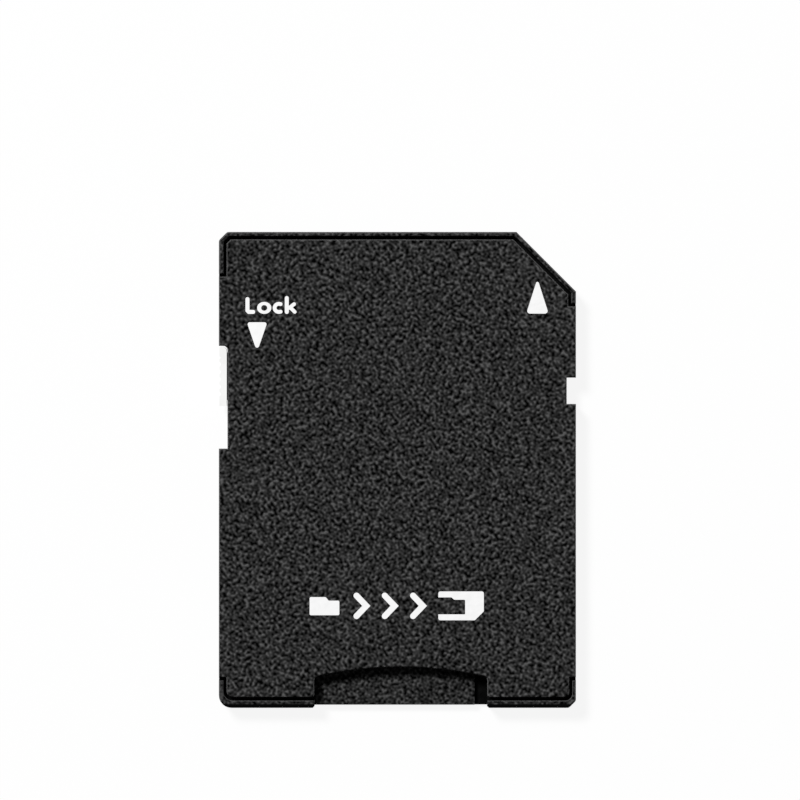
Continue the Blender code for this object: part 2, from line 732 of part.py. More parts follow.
def bottom_shell(made_of):
    outline = card_outline()
    high = CARD_THICKNESS + CUT_MARGIN
    body = loft(
        "bottom_shell",
        [
            (0, inset(outline, BOTTOM_CHAMFER)),
            (BOTTOM_CHAMFER, outline),
            *round_edge(outline, RIM_OUTER_ROUND, CARD_THICKNESS),
        ],
        made_of,
    )
    seat = inset(rounded(cover_corners(False)), -GROOVE_WIDTH)
    seat_rings = [(PARTING_HEIGHT, seat), *round_edge(seat, RIM_INNER_ROUND, CARD_THICKNESS, -1)]
    seat_rings.append((high, seat_rings[-1][1]))
    cut(body, rail_cutter(1), rail_cutter(-1), loft("cover_seat", seat_rings), rear_bevel())
    cut(body, prism("lock_notch", rounded(lock_notch(CUT_MARGIN)), RAIL_STEP - CUT_MARGIN, high))
    cut(body, prism("index_notch", rounded(index_notch(CUT_MARGIN)), RAIL_STEP - CUT_MARGIN, high))
    cut(body, prism("contact_bay", bay_outline(0), PAD_HEIGHT, high))

    slot = slot_outline(REAR - CUT_MARGIN)
    mouth = box_outline(THUMB_LEFT, THUMB_RIGHT, REAR - CUT_MARGIN, REAR + THUMB_SIDE_DEPTH)
    cut(body, prism("slot", slot, SLOT_FLOOR_HEIGHT, high))
    cut(body, prism("mouth", mouth, SLOT_FLOOR_HEIGHT, high))
    cut(body, mouth_recess())
    relief_end = REAR + SIDE_RELIEF_LENGTH
    relief_left = THUMB_RIGHT - SIDE_RELIEF_WIDTH
    relief = box_outline(relief_left, THUMB_RIGHT, REAR - CUT_MARGIN, relief_end)
    cut(body, prism("side_relief", relief, SIDE_RELIEF_HEIGHT, SLOT_FLOOR_HEIGHT + JOIN_LAP))

    half = FINGER_HALF_SPAN + FINGER_SLOT_WIDTH / 2
    finger_bay = box_outline(NOSE_MIDDLE - half, NOSE_MIDDLE + half, SLOT_END, BAY_REAR + JOIN_LAP)
    cut(body, prism("finger_bay", finger_bay, FINGER_BAY_HEIGHT, high))
    slot_end = finger_line()[-1][0] - FINGER_SLOT_OVERRUN
    for i in range(FINGER_COUNT):
        x = NOSE_MIDDLE + FINGER_HALF_SPAN - i * FINGER_PITCH
        left, right = x - FINGER_SLOT_WIDTH / 2, x + FINGER_SLOT_WIDTH / 2
        outline = box_outline(left, right, slot_end, SLOT_END + JOIN_LAP)
        cut(body, prism(f"finger_slot_{i + 1}", outline, FINGER_BAY_HEIGHT, SLOT_FLOOR_HEIGHT + JOIN_LAP))

    for number, x, width in pad_places():
        cut(body, window_cutter(number, x, width))
    cut(body, slider_pocket(), *core_pockets())
    leaf_low = SLOT_FLOOR_HEIGHT - LEAF_GAP
    cut(body, prism("leaf_pocket", leaf_pocket_outline(), leaf_low, high))
    for i, place in enumerate(pin_places()):
        outline = circle(*place, PIN_RADIUS + PIN_GAP)
        cut(body, prism(f"pin_hole_{i + 1}", outline, PARTING_HEIGHT - PIN_LENGTH - PIN_GAP, high))
    for i, place in enumerate(stake_places()):
        join(body, stake(f"stake_{i + 1}", *place))
    return body


def stake(name, x, y):
    """A post through a contact's hole, with the head that heat has formed on it."""
    top = PAD_HEIGHT + CONTACT_THICKNESS
    head_low = top + CONTACT_GAP
    stem = circle(x, y, STAKE_RADIUS)
    head = circle(x, y, STAKE_HEAD_RADIUS)
    rings = [
        (PAD_HEIGHT - 2 * JOIN_LAP, stem),
        (head_low, stem),
        (head_low + STAKE_HEAD_FLARE, head),
        (head_low + STAKE_HEAD_HEIGHT / 2, head),
        (head_low + STAKE_HEAD_HEIGHT, stem),
    ]
    return loft(name, rings)


def top_shell(made_of):
    outline = rounded(cover_corners(True))
    body = loft(
        "top_shell",
        [
            (COVER_BOTTOM, inset(outline, SEAM_CHAMFER)),
            (COVER_BOTTOM + SEAM_CHAMFER, outline),
            *round_edge(outline, COVER_EDGE_ROUND, COVER_TOP),
        ],
        made_of,
    )
    inside = bay_outline(CONTACT_GAP)
    wide_front = BAY_FRONT - CONTACT_GAP
    pad_bar_rear = wide_front - PAD_BAR_LENGTH
    pad_bar = [(inside[2][0], pad_bar_rear), *inside[3:6], (inside[6][0], pad_bar_rear)]
    lead_bar_front = BAY_REAR + CONTACT_GAP + LEAD_BAR_LENGTH
    rear_left, rear_right = inside[0][0] + CONTACT_GAP, inside[1][0] - CONTACT_GAP
    lead_bar = box_outline(rear_left, rear_right, BAY_REAR + CONTACT_GAP, lead_bar_front)
    high = COVER_BOTTOM + JOIN_LAP
    join(body, prism("pad_bar", pad_bar, CLAMP_HEIGHT, high))
    join(body, prism("lead_bar", lead_bar, CLAMP_HEIGHT, high))
    for i, (x, y) in enumerate(pin_places()):
        join(body, prism(f"pin_{i + 1}", circle(x, y, PIN_RADIUS), PARTING_HEIGHT - PIN_LENGTH, high))
    ceiling = prism("slot_ceiling", slot_outline(REAR - CUT_MARGIN), 0, SLOT_CEILING)
    cut(body, ceiling, bpy.data.objects["slider_pocket"])
    return body


def lock_slider(made_of):
    """The white slider: a ribbed grip in the notch, and a T-shaped foot that the shells hold."""
    front = LOCK_NOTCH_FRONT - SLIDER_GAP
    rear = front - SLIDER_LENGTH
    inner = LOCK_NOTCH_WALL - SLIDER_GAP
    outer = -HALF_WIDTH + SLIDER_FACE_INSET
    corner = LOCK_NOTCH_ROUND + SLIDER_GAP
    valley = outer + SLIDER_GRIP_DEPTH
    middle = (front + rear) / 2
    grip_start = middle + SLIDER_GRIP_PITCH * SLIDER_GRIP_COUNT / 2
    grip = []
    for i in range(SLIDER_GRIP_COUNT):
        y = grip_start - i * SLIDER_GRIP_PITCH
        grip += [
            (valley, y, 0),
            (outer, y - SLIDER_RIDGE_START, 0),
            (outer, y - SLIDER_RIDGE_END, 0),
            (valley, y - SLIDER_VALLEY_START, 0),
        ]
    shoulder = SLIDER_GRIP_DEPTH
    corners = [
        (outer, rear, 0),
        (inner, rear, 0),
        (inner, front, corner),
        (outer + shoulder, front, 0),
        (outer, front - shoulder, 0),
        (outer, grip_start + shoulder, 0),
        *grip,
        (valley, grip_start - SLIDER_GRIP_COUNT * SLIDER_GRIP_PITCH, 0),
        (outer, grip_start - SLIDER_GRIP_COUNT * SLIDER_GRIP_PITCH - shoulder, 0),
    ]
    outline = rounded(corners)
    low = RAIL_STEP + SLIDER_GAP
    high = COVER_TOP - SLIDER_GAP
    body = prism("lock_slider", outline, low, high, made_of)

    neck = SLIDER_NECK_SLIT / 2
    half_foot = SLIDER_FOOT_SLOT / 2 - SLIDER_GAP
    foot_front = LOCK_NOTCH_WALL + SLIDER_LIP + SLIDER_GAP
    foot_back = LOCK_NOTCH_WALL + SLIDER_LIP + SLIDER_FOOT_DEPTH - SLIDER_GAP
    level = PARTING_HEIGHT
    profile = [
        (level - neck, inner - 2 * JOIN_LAP),
        (level + neck, inner - 2 * JOIN_LAP),
        (level + neck, foot_front),
        (level + half_foot, foot_front),
        (level + half_foot, foot_back),
        (level - half_foot, foot_back),
        (level - half_foot, foot_front),
        (level - neck, foot_front),
    ]
    ends = rear + SLIDER_FOOT_SHORTER, front - SLIDER_FOOT_SHORTER
    join(body, prism("slider_foot", profile, *ends, axis="Y"))
    set_origin(body, Vector((LOCK_NOTCH_WALL, middle, PARTING_HEIGHT)))
    return body


def card_retention_spring(made_of):
    """A leaf on edge beside the slot, bowed into it where the small card has its side notch."""
    middle = SMALL_CARD_NOSE - SMALL_CARD_NOTCH_FROM_NOSE
    crest = SLOT_RIGHT - LEAF_REACH_INTO_SLOT
    near, far = [], []
    for i in range(LEAF_STEPS + 1):
        share = i / LEAF_STEPS
        y = middle + LEAF_LENGTH * (share - 0.5)
        bow = LEAF_BULGE * (1 - math.cos(2 * math.pi * share)) / 2
        lean = -LEAF_BULGE * math.pi / LEAF_LENGTH * math.sin(2 * math.pi * share)
        across = Vector((1, -lean)).normalized() * LEAF_THICKNESS
        x = crest + LEAF_BULGE - bow
        near.append((x, y))
        far.append((x + across.x, y + across.y))
    outline = far + list(reversed(near))
    high = PARTING_HEIGHT - LEAF_GAP
    return prism("card_retention_spring", outline, SLOT_FLOOR_HEIGHT, high, made_of)


def main():
    clear_scene()
    bottom_shell(material("contact_side_plastic", (0.024, 0.024, 0.024), 0.6))
    top_shell(material("label_side_plastic", (0.026, 0.026, 0.026), 0.6))
    lock_slider(material("slider_plastic", (0.86, 0.86, 0.84), 0.4))
    contacts(material("contact_gold", (0.83, 0.62, 0.28), 0.25, 1.0))
    card_retention_spring(material("spring_steel", (0.6, 0.6, 0.58), 0.3, 1.0))
    shading = angle_shading()
    for obj in bpy.data.objects:
        if not obj.hide_render:
            obj.modifiers.new("angle_shading", "NODES").node_group = shading


main()
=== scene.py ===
import math

import bmesh
import bpy
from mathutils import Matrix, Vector


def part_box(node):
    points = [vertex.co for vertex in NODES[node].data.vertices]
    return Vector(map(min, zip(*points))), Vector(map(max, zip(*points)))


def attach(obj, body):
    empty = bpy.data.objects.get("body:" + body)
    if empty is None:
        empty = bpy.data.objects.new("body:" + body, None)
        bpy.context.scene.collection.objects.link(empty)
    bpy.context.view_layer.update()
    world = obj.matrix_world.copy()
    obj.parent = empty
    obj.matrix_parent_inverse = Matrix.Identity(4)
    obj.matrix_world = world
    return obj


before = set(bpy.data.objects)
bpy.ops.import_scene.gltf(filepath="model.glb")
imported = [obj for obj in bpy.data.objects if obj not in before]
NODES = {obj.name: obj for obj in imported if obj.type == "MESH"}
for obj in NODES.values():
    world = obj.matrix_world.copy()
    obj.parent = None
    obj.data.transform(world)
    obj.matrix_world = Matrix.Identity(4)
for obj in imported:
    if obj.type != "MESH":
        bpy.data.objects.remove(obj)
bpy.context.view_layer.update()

CONTACTS = [name for name in NODES if name.startswith("contact_")]
MM = 0.001

# Camera: straight above the card, with the photograph's framing. The photograph is stretched upwards by
# 7 %, so its scale across and its scale along are met half-way.
IMAGE_WIDTH_PX = 800
CARD_CENTRE_PX = (397.4, 470.0)
PX_PER_MM = 14.88
LENS_MM = 360.0
SENSOR_MM = 36.0
CLIP_NEAR = 0.01
CLIP_FAR = 10.0

# Lamps: where each stands as seen from the card, its distance and width in metres, and the level to which
# it lights a white sheet lying level. The key stands towards the contact end and the left. The other
# lights the underside, which only a view from below shows.
KEY_LAMP = {"direction": (-0.46, 0.54, 1.0), "distance": 1.5, "width": 0.36, "level": 0.91}
UNDER_LAMP = {"direction": (0.1, 0.2, -1.0), "distance": 0.3, "width": 0.4, "level": 0.7}

# The surroundings: dim for the card, and plain white for the camera
SURROUND_LEVEL = 0.09
WHITE_LEVEL = 1.0

# Floor: a pale sheet, shown as this share of plain white and the rest as lit, which leaves a faint shadow
FLOOR_COLOUR = 0.95
FLOOR_WHITENESS = 0.9
FLOOR_WIDTH = 3.0
FLOOR_GAP = 0.00001

# The part of a noise that most of its values lie in
NOISE_RANGE = (0.3, 0.7)

# Grain of the black plastic, from its pits to its peaks: steps of the noise, with the tone and the
# roughness there. The tone is partly the grain's own and partly painted light: painted shade in the pits
# and painted glints on the peaks
GRAIN_TONES_AND_PAINTED_LIGHT = ((0.19, 0.0), (0.38, 0.0125), (0.5, 0.0225), (0.61, 0.036), (0.72, 0.056), (0.81, 0.09))
GRAIN_ROUGHNESS = ((0.34, 0.85), (0.62, 0.40))
GRAIN_TURN = (0.7, 0.5, 0.4)
LABEL_GRAIN = {"grain_mm": 0.21, "depth_mm": 0.06, "level": 1.0}
CONTACT_GRAIN = {"grain_mm": 0.20, "depth_mm": 0.05, "level": 0.85}
PLASTIC_SPECULAR = 0.03

# A light grain has a darker ring, and a dark one a lighter ring: how strong it is, and how far out
RING_STRENGTH = 0.22
RING_MM = 0.21

# Finer grain on the first: its share of the first one's size and of its depth
FINE_SIZE = 0.45
FINE_DEPTH = 0.2

# Rounded edges are painted lighter, in one tone: a painted highlight. They are where the upward part of the
# surface's normal lies between these two, and the part along the card over the third. Where that lies under
# it, the surface is the bevel at the rear end, which gets painted shade.
EDGE_TILTS = (0.35, 0.96)
EDGE_REARMOST = -0.3
EDGE_HIGHLIGHT_TONE = 0.095

# Smooth plastic has only the finer grain and a much darker tone of painted shade, with a slow change of
# tone: on the bevel at the rear end, which is dull, and on the contact side between each pair of heights
# in millimetres, where the mould was polished. The polish gives the gloss. The dark tone is painted shade
POLISHED_SHADED_HEIGHTS = ((0.2, 0.69), (1.3, 1.5))
SMOOTH_MM = 0.7
PAINTED_SHADE_TONES = ((0.35, 0.0012), (0.65, 0.0030))
SMOOTH_RELIEF = 0.5
POLISH_ROUGHNESS = ((0.35, 0.42), (0.65, 0.58))
BEVEL_ROUGHNESS = ((0.35, 0.92), (0.65, 1.0))

# Whites, the slider's plastic and the print's ink: slow changes of tone and of roughness, and a fine grain
SLIDER_WHITE = {
    "tones": ((0.3, (0.88, 0.88, 0.87)), (0.7, (0.94, 0.94, 0.93))),
    "tone_mm": 1.5,
    "roughness": (0.36, 0.5),
    "gloss_mm": 0.2,
    "grain_mm": 0.12,
    "grain_depth_mm": 0.003,
}
INK_WHITE = {
    "tones": ((0.3, 0.92), (0.7, 0.97)),
    "tone_mm": 0.5,
    "roughness": (0.5, 0.62),
    "gloss_mm": 0.15,
    "grain_mm": 0.3,
    "grain_depth_mm": 0.01,
}

# Metal strip: fine lines along the strip and slow stains
GOLD = {"dark": (0.66, 0.40, 0.11), "light": (0.82, 0.55, 0.20), "roughness": (0.17, 0.34)}
STEEL = {"dark": (0.52, 0.52, 0.50), "light": (0.66, 0.66, 0.64), "roughness": (0.19, 0.36)}
LINE_MM = 0.06
LINE_DETAIL = 3.0
LINE_ROUGH = 0.6
LINE_STRETCH = (1.0, 0.05, 1.0)
LINE_DEPTH_MM = 0.003
STAIN_MM = 2.6
STAIN_STRENGTH = 0.12
STAIN_RANGE = (0.35, 0.65)

# Print on the label face, in millimetres from the card's centre: plates of ink, sunk a little into the face
INK_THICKNESS = 0.016
INK_SINK = 0.004
CUT_PAST = 0.1
ELLIPSE_STEPS = 28
ARC_STEPS = 12
CORNER_STEPS = 5
CAP_STEPS = 8

# The most that a stroke's corner reaches out, in half-widths of the stroke
MITRE_LIMIT = 2.0

# The word at the switch: the heights of its lines, its strokes, and its letters from left to right
WORD_BASE = 10.625
WORD_MIDDLE = 10.895
WORD_SMALL_TOP = 11.15
WORD_CAPITAL_TOP = 11.485
STROKE = 0.27
CURVED_STROKE = 0.2538
SHORT_STROKE = 0.243
L_STEM_X = -10.075
L_CORNER = 0.09
L_END_X = -9.695
O_X = -8.95
O_SIZE = (0.48, 0.405)
O_HOLE = (0.205, 0.19)
C_X = -7.96
C_SIZE = (0.295, 0.275)
C_OPENING_DEG = 68
K_STEM_X = -7.435
K_STEM_RISE = 0.07
K_ARM_X = (-7.27, -6.94)
K_LEG_X = (-7.22, -6.90)
K_LEG_RISE = 0.045

# Arrows to the switch's locked end, and to the end that goes into a host
LOCK_ARROW = {"x": -9.43, "back": 9.93, "tip": 7.93, "half_width": 0.69, "radii": (0.14, 0.14, 0.14)}
WAY_IN_ARROW = {"x": 9.41, "back": 10.51, "tip": 12.87, "half_width": 0.752, "radii": (0.18, 0.18, 0.1)}

# The picture of use: a small card, chevrons, and a full-size card whose slot has the small card's form
SMALL_CARD = {"left": -5.9, "low": -9.76, "high": -8.54}
SLOT = {"left": 2.55, "low": -9.7, "high": -8.56}
SMALL_LENGTH = 2.0
SMALL_NOSE_WIDTH = 0.98
SMALL_NOSE_LENGTH = 0.72
SMALL_SHOULDER = 0.2
SMALL_CARD_ROUND = 0.1
SLOT_ROUND = 0.06
FULL_CARD = {"left": 2.75, "right": 5.81, "low": -10.1, "high": -8.16}
FULL_CARD_CUT = (0.61, 0.6)
FULL_CARD_ROUND = 0.14
CHEVRONS = 3
CHEVRON_START = -2.75
CHEVRON_PITCH = 1.9
CHEVRON_DEPTH = 0.66
CHEVRON_MIDDLE = -9.13
CHEVRON_HALF_HEIGHT = 0.69
CHEVRON_STROKE = 0.4


# Shader nodes


def new_material(name):
    made = bpy.data.materials.new(name)
    made.use_nodes = True
    tree = made.node_tree
    shader = tree.nodes["Principled BSDF"]
    return made, tree, shader


def feed(tree, socket, value):
    """Give a socket its value, or link it if the value is a socket too."""
    if isinstance(value, bpy.types.NodeSocket):
        tree.links.new(value, socket)
    else:
        socket.default_value = value


def add(tree, kind, settings=None, **inputs):
    """A node with its settings and its inputs, which are values or sockets. A name has _ for each space."""
    node = tree.nodes.new(kind)
    for name, value in (settings or {}).items():
        setattr(node, name, value)
    for name, value in inputs.items():
        feed(tree, node.inputs[name.replace("_", " ")], value)
    return node


def maths(tree, operation, *values):
    node = add(tree, "ShaderNodeMath", {"operation": operation})
    for socket, value in zip(node.inputs, values):
        feed(tree, socket, value)
    return node.outputs[0]


def between(tree, value, low, high):
    """1 between two values, and 0 outside."""
    over = maths(tree, "GREATER_THAN", value, low)
    under = maths(tree, "LESS_THAN", value, high)
    return maths(tree, "MULTIPLY", over, under)


def mix(tree, share, first, second):
    """Two colours mixed, or two values."""
    node = add(tree, "ShaderNodeMix", {"data_type": "RGBA"})
    sockets = {socket.identifier: socket for socket in (*node.inputs, *node.outputs)}
    feed(tree, sockets["Factor_Float"], share)
    feed(tree, sockets["A_Color"], first)
    feed(tree, sockets["B_Color"], second)
    return sockets["Result_Color"]


def opaque(colour):
    """A colour, or a level of grey, with full opacity."""
    red, green, blue = colour if isinstance(colour, tuple) else (colour, colour, colour)
    return (red, green, blue, 1.0)


def ramp(tree, factor, stops):
    """A colour ramp from pairs of a place and a colour, or of a place and a level of grey."""
    node = add(tree, "ShaderNodeValToRGB", Fac=factor)
    marks = node.color_ramp.elements
    while len(marks) < len(stops):
        marks.new(0.5)
    for mark, (place, colour) in zip(marks, stops):
        mark.position = place
        mark.color = opaque(colour)
    return node.outputs["Color"]


def spread(tree, factor, low, high, within=NOISE_RANGE):
    """Noise stretched to run from one value to another, and held there."""
    start, end = within
    limits = {"From_Min": start, "From_Max": end, "To_Min": low, "To_Max": high}
    return add(tree, "ShaderNodeMapRange", {"clamp": True}, Value=factor, **limits).outputs["Result"]


def place_of(tree):
    return add(tree, "ShaderNodeTexCoord").outputs["Object"]


def turned(tree, place):
    """Turned off the axes, so that no face of the card lies along the noise's own grid."""
    node = add(tree, "ShaderNodeMapping", Vector=place, Rotation=GRAIN_TURN)
    return node.outputs["Vector"]


def noise(tree, place, size_mm, detail=2.0, rough=0.5):
    node = add(
        tree,
        "ShaderNodeTexNoise",
        Vector=place,
        Scale=1.0 / (size_mm * MM),
        Detail=detail,
        Roughness=rough,
    )
    return node.outputs["Fac"]


def bump(tree, height, depth_mm, after=None):
    node = add(tree, "ShaderNodeBump", Height=height, Strength=1.0, Distance=depth_mm * MM)
    if after:
        tree.links.new(after, node.inputs["Normal"])
    return node.outputs["Normal"]


# Materials


def ringed_noise(tree, place, size_mm):
    """Noise less a share of what lies round each point on the card's face."""
    centre = noise(tree, turned(tree, place), size_mm, detail=0.0)
    total = centre
    ways = ((1, 0), (-1, 0), (0, 1), (0, -1))
    for across, along in ways:
        step = (across * RING_MM * MM, along * RING_MM * MM, 0.0)
        beside = add(tree, "ShaderNodeMapping", Vector=place, Location=step).outputs["Vector"]
        around = noise(tree, turned(tree, beside), size_mm, detail=0.0)
        gap = maths(tree, "SUBTRACT", centre, around)
        total = maths(tree, "ADD", total, maths(tree, "MULTIPLY", gap, RING_STRENGTH / len(ways)))
    return total


def leaning_shares(tree):
    """Two shares: 1 where an edge leans outwards but not to the rear, for the painted highlight, and 1 where
    a bevel leans there, for the painted shade.
    """
    facing = add(tree, "ShaderNodeNewGeometry").outputs["True Normal"]
    lean = add(tree, "ShaderNodeSeparateXYZ", Vector=facing).outputs
    leaning = between(tree, lean["Z"], *EDGE_TILTS)
    elsewhere = maths(tree, "GREATER_THAN", lean["Y"], EDGE_REARMOST)
    to_rear = maths(tree, "LESS_THAN", lean["Y"], EDGE_REARMOST)
    return [maths(tree, "MULTIPLY", leaning, way) for way in (elsewhere, to_rear)]


def moulded_black(name, grain_mm, depth_mm, level, polished_shaded_heights=()):
    """Black plastic from a spark-eroded mould: dull pits with painted shade between shinier grains with
    painted glints.
    """
    made, tree, shader = new_material(name)
    place = place_of(tree)
    relief = ringed_noise(tree, place, grain_mm)
    # Painted light: the tone follows the relief, darker in the pits as painted shade and lighter on the
    # peaks as painted glints.
    colour = ramp(tree, relief, [(step, tone * level) for step, tone in GRAIN_TONES_AND_PAINTED_LIGHT])
    gloss = ramp(tree, relief, GRAIN_ROUGHNESS)

    edge, bevel = leaning_shares(tree)
    # Painted highlight on rounded edges that don't lean to the rear.
    colour = mix(tree, edge, colour, opaque(EDGE_HIGHLIGHT_TONE * level))

    height = add(tree, "ShaderNodeSeparateXYZ", Vector=place).outputs["Z"]
    slow = noise(tree, place, SMOOTH_MM, detail=1.0)
    painted_shade_colour = ramp(tree, slow, PAINTED_SHADE_TONES)
    smooth = [(bevel, BEVEL_ROUGHNESS)]
    for low, high in polished_shaded_heights:
        smooth.append((between(tree, height, low * MM, high * MM), POLISH_ROUGHNESS))
    # Painted shade: the rear bevel and the bands of height get a much darker tone.
    for share, roughness in smooth:
        colour = mix(tree, share, colour, painted_shade_colour)
        gloss = mix(tree, share, gloss, ramp(tree, slow, roughness))
        relief = mix(tree, share, relief, opaque(SMOOTH_RELIEF))

    fine = noise(tree, turned(tree, place), grain_mm * FINE_SIZE, detail=1.0)
    normal = bump(tree, relief, depth_mm, bump(tree, fine, depth_mm * FINE_DEPTH))
    feed(tree, shader.inputs["Base Color"], colour)
    feed(tree, shader.inputs["Roughness"], gloss)
    feed(tree, shader.inputs["Normal"], normal)
    shader.inputs["Specular IOR Level"].default_value = PLASTIC_SPECULAR
    return made


def plain_white(name, tones, tone_mm, roughness, gloss_mm, grain_mm, grain_depth_mm):
    made, tree, shader = new_material(name)
    place = place_of(tree)
    tone = ramp(tree, noise(tree, place, tone_mm), tones)
    gloss = spread(tree, noise(tree, place, gloss_mm), *roughness)
    normal = bump(tree, noise(tree, place, grain_mm), grain_depth_mm)
    feed(tree, shader.inputs["Base Color"], tone)
    feed(tree, shader.inputs["Roughness"], gloss)
    feed(tree, shader.inputs["Normal"], normal)
    return made


def strip_metal(name, dark, light, roughness):
    """Rolled metal strip."""
    made, tree, shader = new_material(name)
    place = place_of(tree)
    drawn = add(tree, "ShaderNodeMapping", Vector=place, Scale=LINE_STRETCH).outputs["Vector"]
    lines = noise(tree, drawn, LINE_MM, detail=LINE_DETAIL, rough=LINE_ROUGH)
    slow = noise(tree, place, STAIN_MM, detail=1.0)
    stain = spread(tree, slow, -STAIN_STRENGTH, STAIN_STRENGTH, within=STAIN_RANGE)
    tone = ramp(tree, maths(tree, "ADD", lines, stain), list(zip(NOISE_RANGE, (dark, light))))
    feed(tree, shader.inputs["Base Color"], tone)
    feed(tree, shader.inputs["Roughness"], spread(tree, lines, *roughness))
    feed(tree, shader.inputs["Normal"], bump(tree, lines, LINE_DEPTH_MM))
    shader.inputs["Metallic"].default_value = 1.0
    return made


# Outlines, in millimetres


def line_outline(points, width):
    """The outline of a stroke of that width along the points, with round ends."""
    half = width / 2
    count = len(points)
    spots = [Vector(point) for point in points]
    ways = [(spots[i + 1] - spots[i]).normalized() for i in range(count - 1)]
    left, right = [], []
    for i, spot in enumerate(spots):
        before, after = ways[max(i - 1, 0)], ways[min(i, count - 2)]
        across = Vector((-before.y - after.y, before.x + after.x)).normalized()
        reach = half / max(1 / MITRE_LIMIT, across.dot(Vector((-after.y, after.x))))
        left.append(spot + across * reach)
        right.append(spot - across * reach)
    outline = list(right)
    outline += round_end(spots[-1], ways[-1], half)
    outline += reversed(left)
    outline += round_end(spots[0], -ways[0], half)
    return outline


def round_end(spot, way, half):
    start = math.atan2(way.y, way.x) - math.pi / 2
    turns = [start + math.pi * step / CAP_STEPS for step in range(1, CAP_STEPS)]
    return [spot + Vector((math.cos(turn), math.sin(turn))) * half for turn in turns]


def ellipse(x, y, across, along):
    turns = [2 * math.pi * step / ELLIPSE_STEPS for step in range(ELLIPSE_STEPS)]
    return [Vector((x + across * math.cos(turn), y + along * math.sin(turn))) for turn in turns]


def arc(x, y, across, along, start_deg, end_deg):
    shares = [step / ARC_STEPS for step in range(ARC_STEPS + 1)]
    turns = [math.radians(start_deg + (end_deg - start_deg) * share) for share in shares]
    return [(x + across * math.cos(turn), y + along * math.sin(turn)) for turn in turns]


def rounded(corners, radii):
    """An outline with its corners rounded, by one radius for all or by a tuple with one for each."""
    if not isinstance(radii, tuple):
        radii = (radii,) * len(corners)
    outline = []
    for i, (corner, radius) in enumerate(zip(corners, radii)):
        here = Vector(corner)
        before = (Vector(corners[i - 1]) - here).normalized()
        after = (Vector(corners[(i + 1) % len(corners)]) - here).normalized()
        half = before.angle(after) / 2
        middle = here + (before + after).normalized() * radius / math.sin(half)
        start = here + before * radius / math.tan(half) - middle
        end = here + after * radius / math.tan(half) - middle
        turn = start.angle(end)
        for step in range(CORNER_STEPS + 1):
            share = step / CORNER_STEPS
            spoke = start * math.sin((1 - share) * turn) + end * math.sin(share * turn)
            outline.append(middle + spoke / math.sin(turn))
    return outline


# Print: thin plates of ink


def place_mesh(name, mesh):
    made = bpy.data.objects.new(name, mesh)
    bpy.context.scene.collection.objects.link(made)
    return made


def prism(name, outline, low, high):
    work = bmesh.new()
    bottom = [work.verts.new((spot[0] * MM, spot[1] * MM, low * MM)) for spot in outline]
    top = [work.verts.new((spot[0] * MM, spot[1] * MM, high * MM)) for spot in outline]
    work.faces.new(bottom)
    work.faces.new(top)
    for i in range(len(outline)):
        ahead = (i + 1) % len(outline)
        work.faces.new((bottom[i], bottom[ahead], top[ahead], top[i]))
    bmesh.ops.recalc_face_normals(work, faces=work.faces)
    mesh = bpy.data.meshes.new(name)
    work.to_mesh(mesh)
    work.free()
    return place_mesh(name, mesh)


def plate(name, outlines, holes, level):
    """A thin plate from outlines, less the holes, on a face at that level in millimetres."""
    low, high = level - INK_SINK, level + INK_THICKNESS
    parts = [prism(f"{name}_{i}", outline, low, high) for i, outline in enumerate(outlines)]
    cuts = [prism(f"{name}_hole_{i}", hole, low - CUT_PAST, high + CUT_PAST) for i, hole in enumerate(holes)]
    body = parts[0]
    joined = [(other, "UNION") for other in parts[1:]]
    removed = [(other, "DIFFERENCE") for other in cuts]
    for other, operation in joined + removed:
        modifier = body.modifiers.new(other.name, "BOOLEAN")
        modifier.operation = operation
        modifier.solver = "EXACT"
        modifier.object = other
    graph = bpy.context.evaluated_depsgraph_get()
    mesh = bpy.data.meshes.new_from_object(body.evaluated_get(graph))
    for obj in parts + cuts:
        bpy.data.objects.remove(obj, do_unlink=True)
    mesh.name = name
    return place_mesh(name, mesh)


def lock_word(level):
    """The word at the switch, a stroke or a ring for each part of a letter."""
    l_foot = [(L_STEM_X, WORD_BASE + L_CORNER), (L_STEM_X + L_CORNER, WORD_BASE), (L_END_X, WORD_BASE)]
    c_bow = arc(C_X, WORD_MIDDLE, *C_SIZE, C_OPENING_DEG, 360 - C_OPENING_DEG)
    k_stem = [(K_STEM_X, WORD_CAPITAL_TOP + K_STEM_RISE), (K_STEM_X, WORD_BASE)]
    k_arm = [(K_ARM_X[0], WORD_MIDDLE), (K_ARM_X[1], WORD_SMALL_TOP)]
    k_leg = [(K_LEG_X[0], WORD_MIDDLE + K_LEG_RISE), (K_LEG_X[1], WORD_BASE)]
    letters = [
        line_outline([(L_STEM_X, WORD_CAPITAL_TOP), *l_foot], STROKE),
        ellipse(O_X, WORD_MIDDLE, *O_SIZE),
        line_outline(c_bow, CURVED_STROKE),
        line_outline(k_stem, STROKE),
        line_outline(k_arm, SHORT_STROKE),
        line_outline(k_leg, SHORT_STROKE),
    ]
    return plate("print_lock_word", letters, [ellipse(O_X, WORD_MIDDLE, *O_HOLE)], level)


def arrow(name, level, x, back, tip, half_width, radii):
    """A filled arrow along the card. Its radii are those of its two back corners and its tip."""
    corners = [(x - half_width, back), (x + half_width, back), (x, tip)]
    return plate(name, [rounded(corners, radii)], [], level)


def small_card(left, low, high):
    """The small card's outline in the picture, or its slot's, with the narrower nose to the right."""
    right = left + SMALL_LENGTH
    shoulder = right - SMALL_NOSE_LENGTH
    side = low + SMALL_NOSE_WIDTH
    nose = [(right, low), (right, side), (shoulder, side)]
    return [(left, low), *nose, (shoulder - SMALL_SHOULDER, high), (left, high)]


def full_card(left, right, low, high):
    """The full-size card's outline in the picture, with its cut corner at the lower right."""
    across, along = FULL_CARD_CUT
    cut = [(right - across, low), (right, low + along)]
    return [(left, low), *cut, (right, high), (left, high)]


